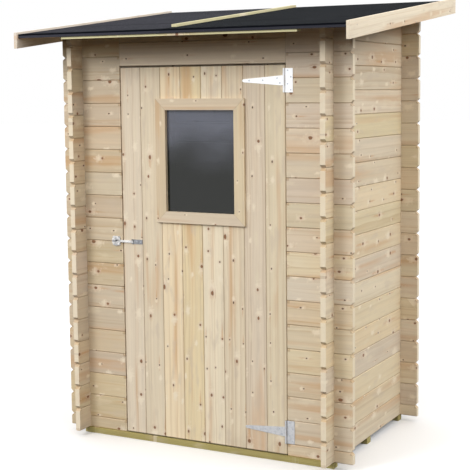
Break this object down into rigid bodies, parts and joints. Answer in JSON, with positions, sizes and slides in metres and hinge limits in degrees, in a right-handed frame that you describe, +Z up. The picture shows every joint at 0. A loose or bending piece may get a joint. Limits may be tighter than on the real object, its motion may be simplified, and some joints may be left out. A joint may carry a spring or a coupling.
{
  "type": "wooden garden shed",
  "caption": "Small wooden garden shed of interlocking boards with a sloping felt roof and a hinged door with a window.",
  "frame": {"origin": "on the ground under the middle of the roof's outline", "axes": "+Z up, the wall with the door faces -Y, +X to the right of someone facing the door"},
  "size_m": [1.764, 1.437, 2.2173],
  "materials": {
    "spruce": "sawn and planed softwood, untreated",
    "treated_timber": "pressure treated, olive green",
    "felt": "mineral roofing felt, matt",
    "glass": "clear",
    "zinc": "zinc plated"
  },
  "bodies": {
    "shed": {"bearer_front": "treated_timber", "bearer_middle": "treated_timber", "bearer_rear": "treated_timber", "floor_boards": "spruce", "wall_left": "spruce", "wall_right": "spruce", "wall_rear": "spruce", "wall_front_left": "spruce", "wall_front_right": "spruce", "wall_front_header": "spruce", "door_post_left": "spruce", "door_post_right": "spruce", "door_head": "spruce", "roof_boards": "spruce", "roof_felt": "felt", "roof_seam_batten": "treated_timber", "eaves_batten_front": "treated_timber", "eaves_batten_rear": "treated_timber", "barge_board_left": "spruce", "barge_board_right": "spruce", "hinge_plate_upper": "zinc", "hinge_pin_upper": "zinc", "hinge_plate_lower": "zinc", "hinge_pin_lower": "zinc", "staple_plate": "zinc"},
    "door": {"door_boards": "spruce", "door_ledges": "spruce", "door_brace": "spruce", "window_trim_outside": "spruce", "window_trim_inside": "spruce", "window_beads": "spruce", "window_pane": "glass", "hinge_strap_upper": "zinc", "hinge_strap_lower": "zinc", "hasp_leaf": "zinc", "hasp_pin": "zinc"},
    "hasp": {"hasp_strap": "zinc"},
    "staple": {"staple_eye": "zinc"}
  },
  "joints": [
    {"name": "door_hinge", "type": "hinge", "parent": "shed", "child": "door", "pos_m": [0.4495, -0.471, 1], "axis": [0, 0, 1], "range_deg": [0, 110]},
    {"name": "hasp_hinge", "type": "hinge", "parent": "door", "child": "hasp", "pos_m": [-0.3895, -0.47, 1.001], "axis": [0, 0, 1], "range_deg": [0, 170]},
    {"name": "staple_turn", "type": "hinge", "parent": "shed", "child": "staple", "pos_m": [-0.4845, -0.4655, 1.001], "axis": [0, -1, 0], "range_deg": [0, 90]}
  ]
}
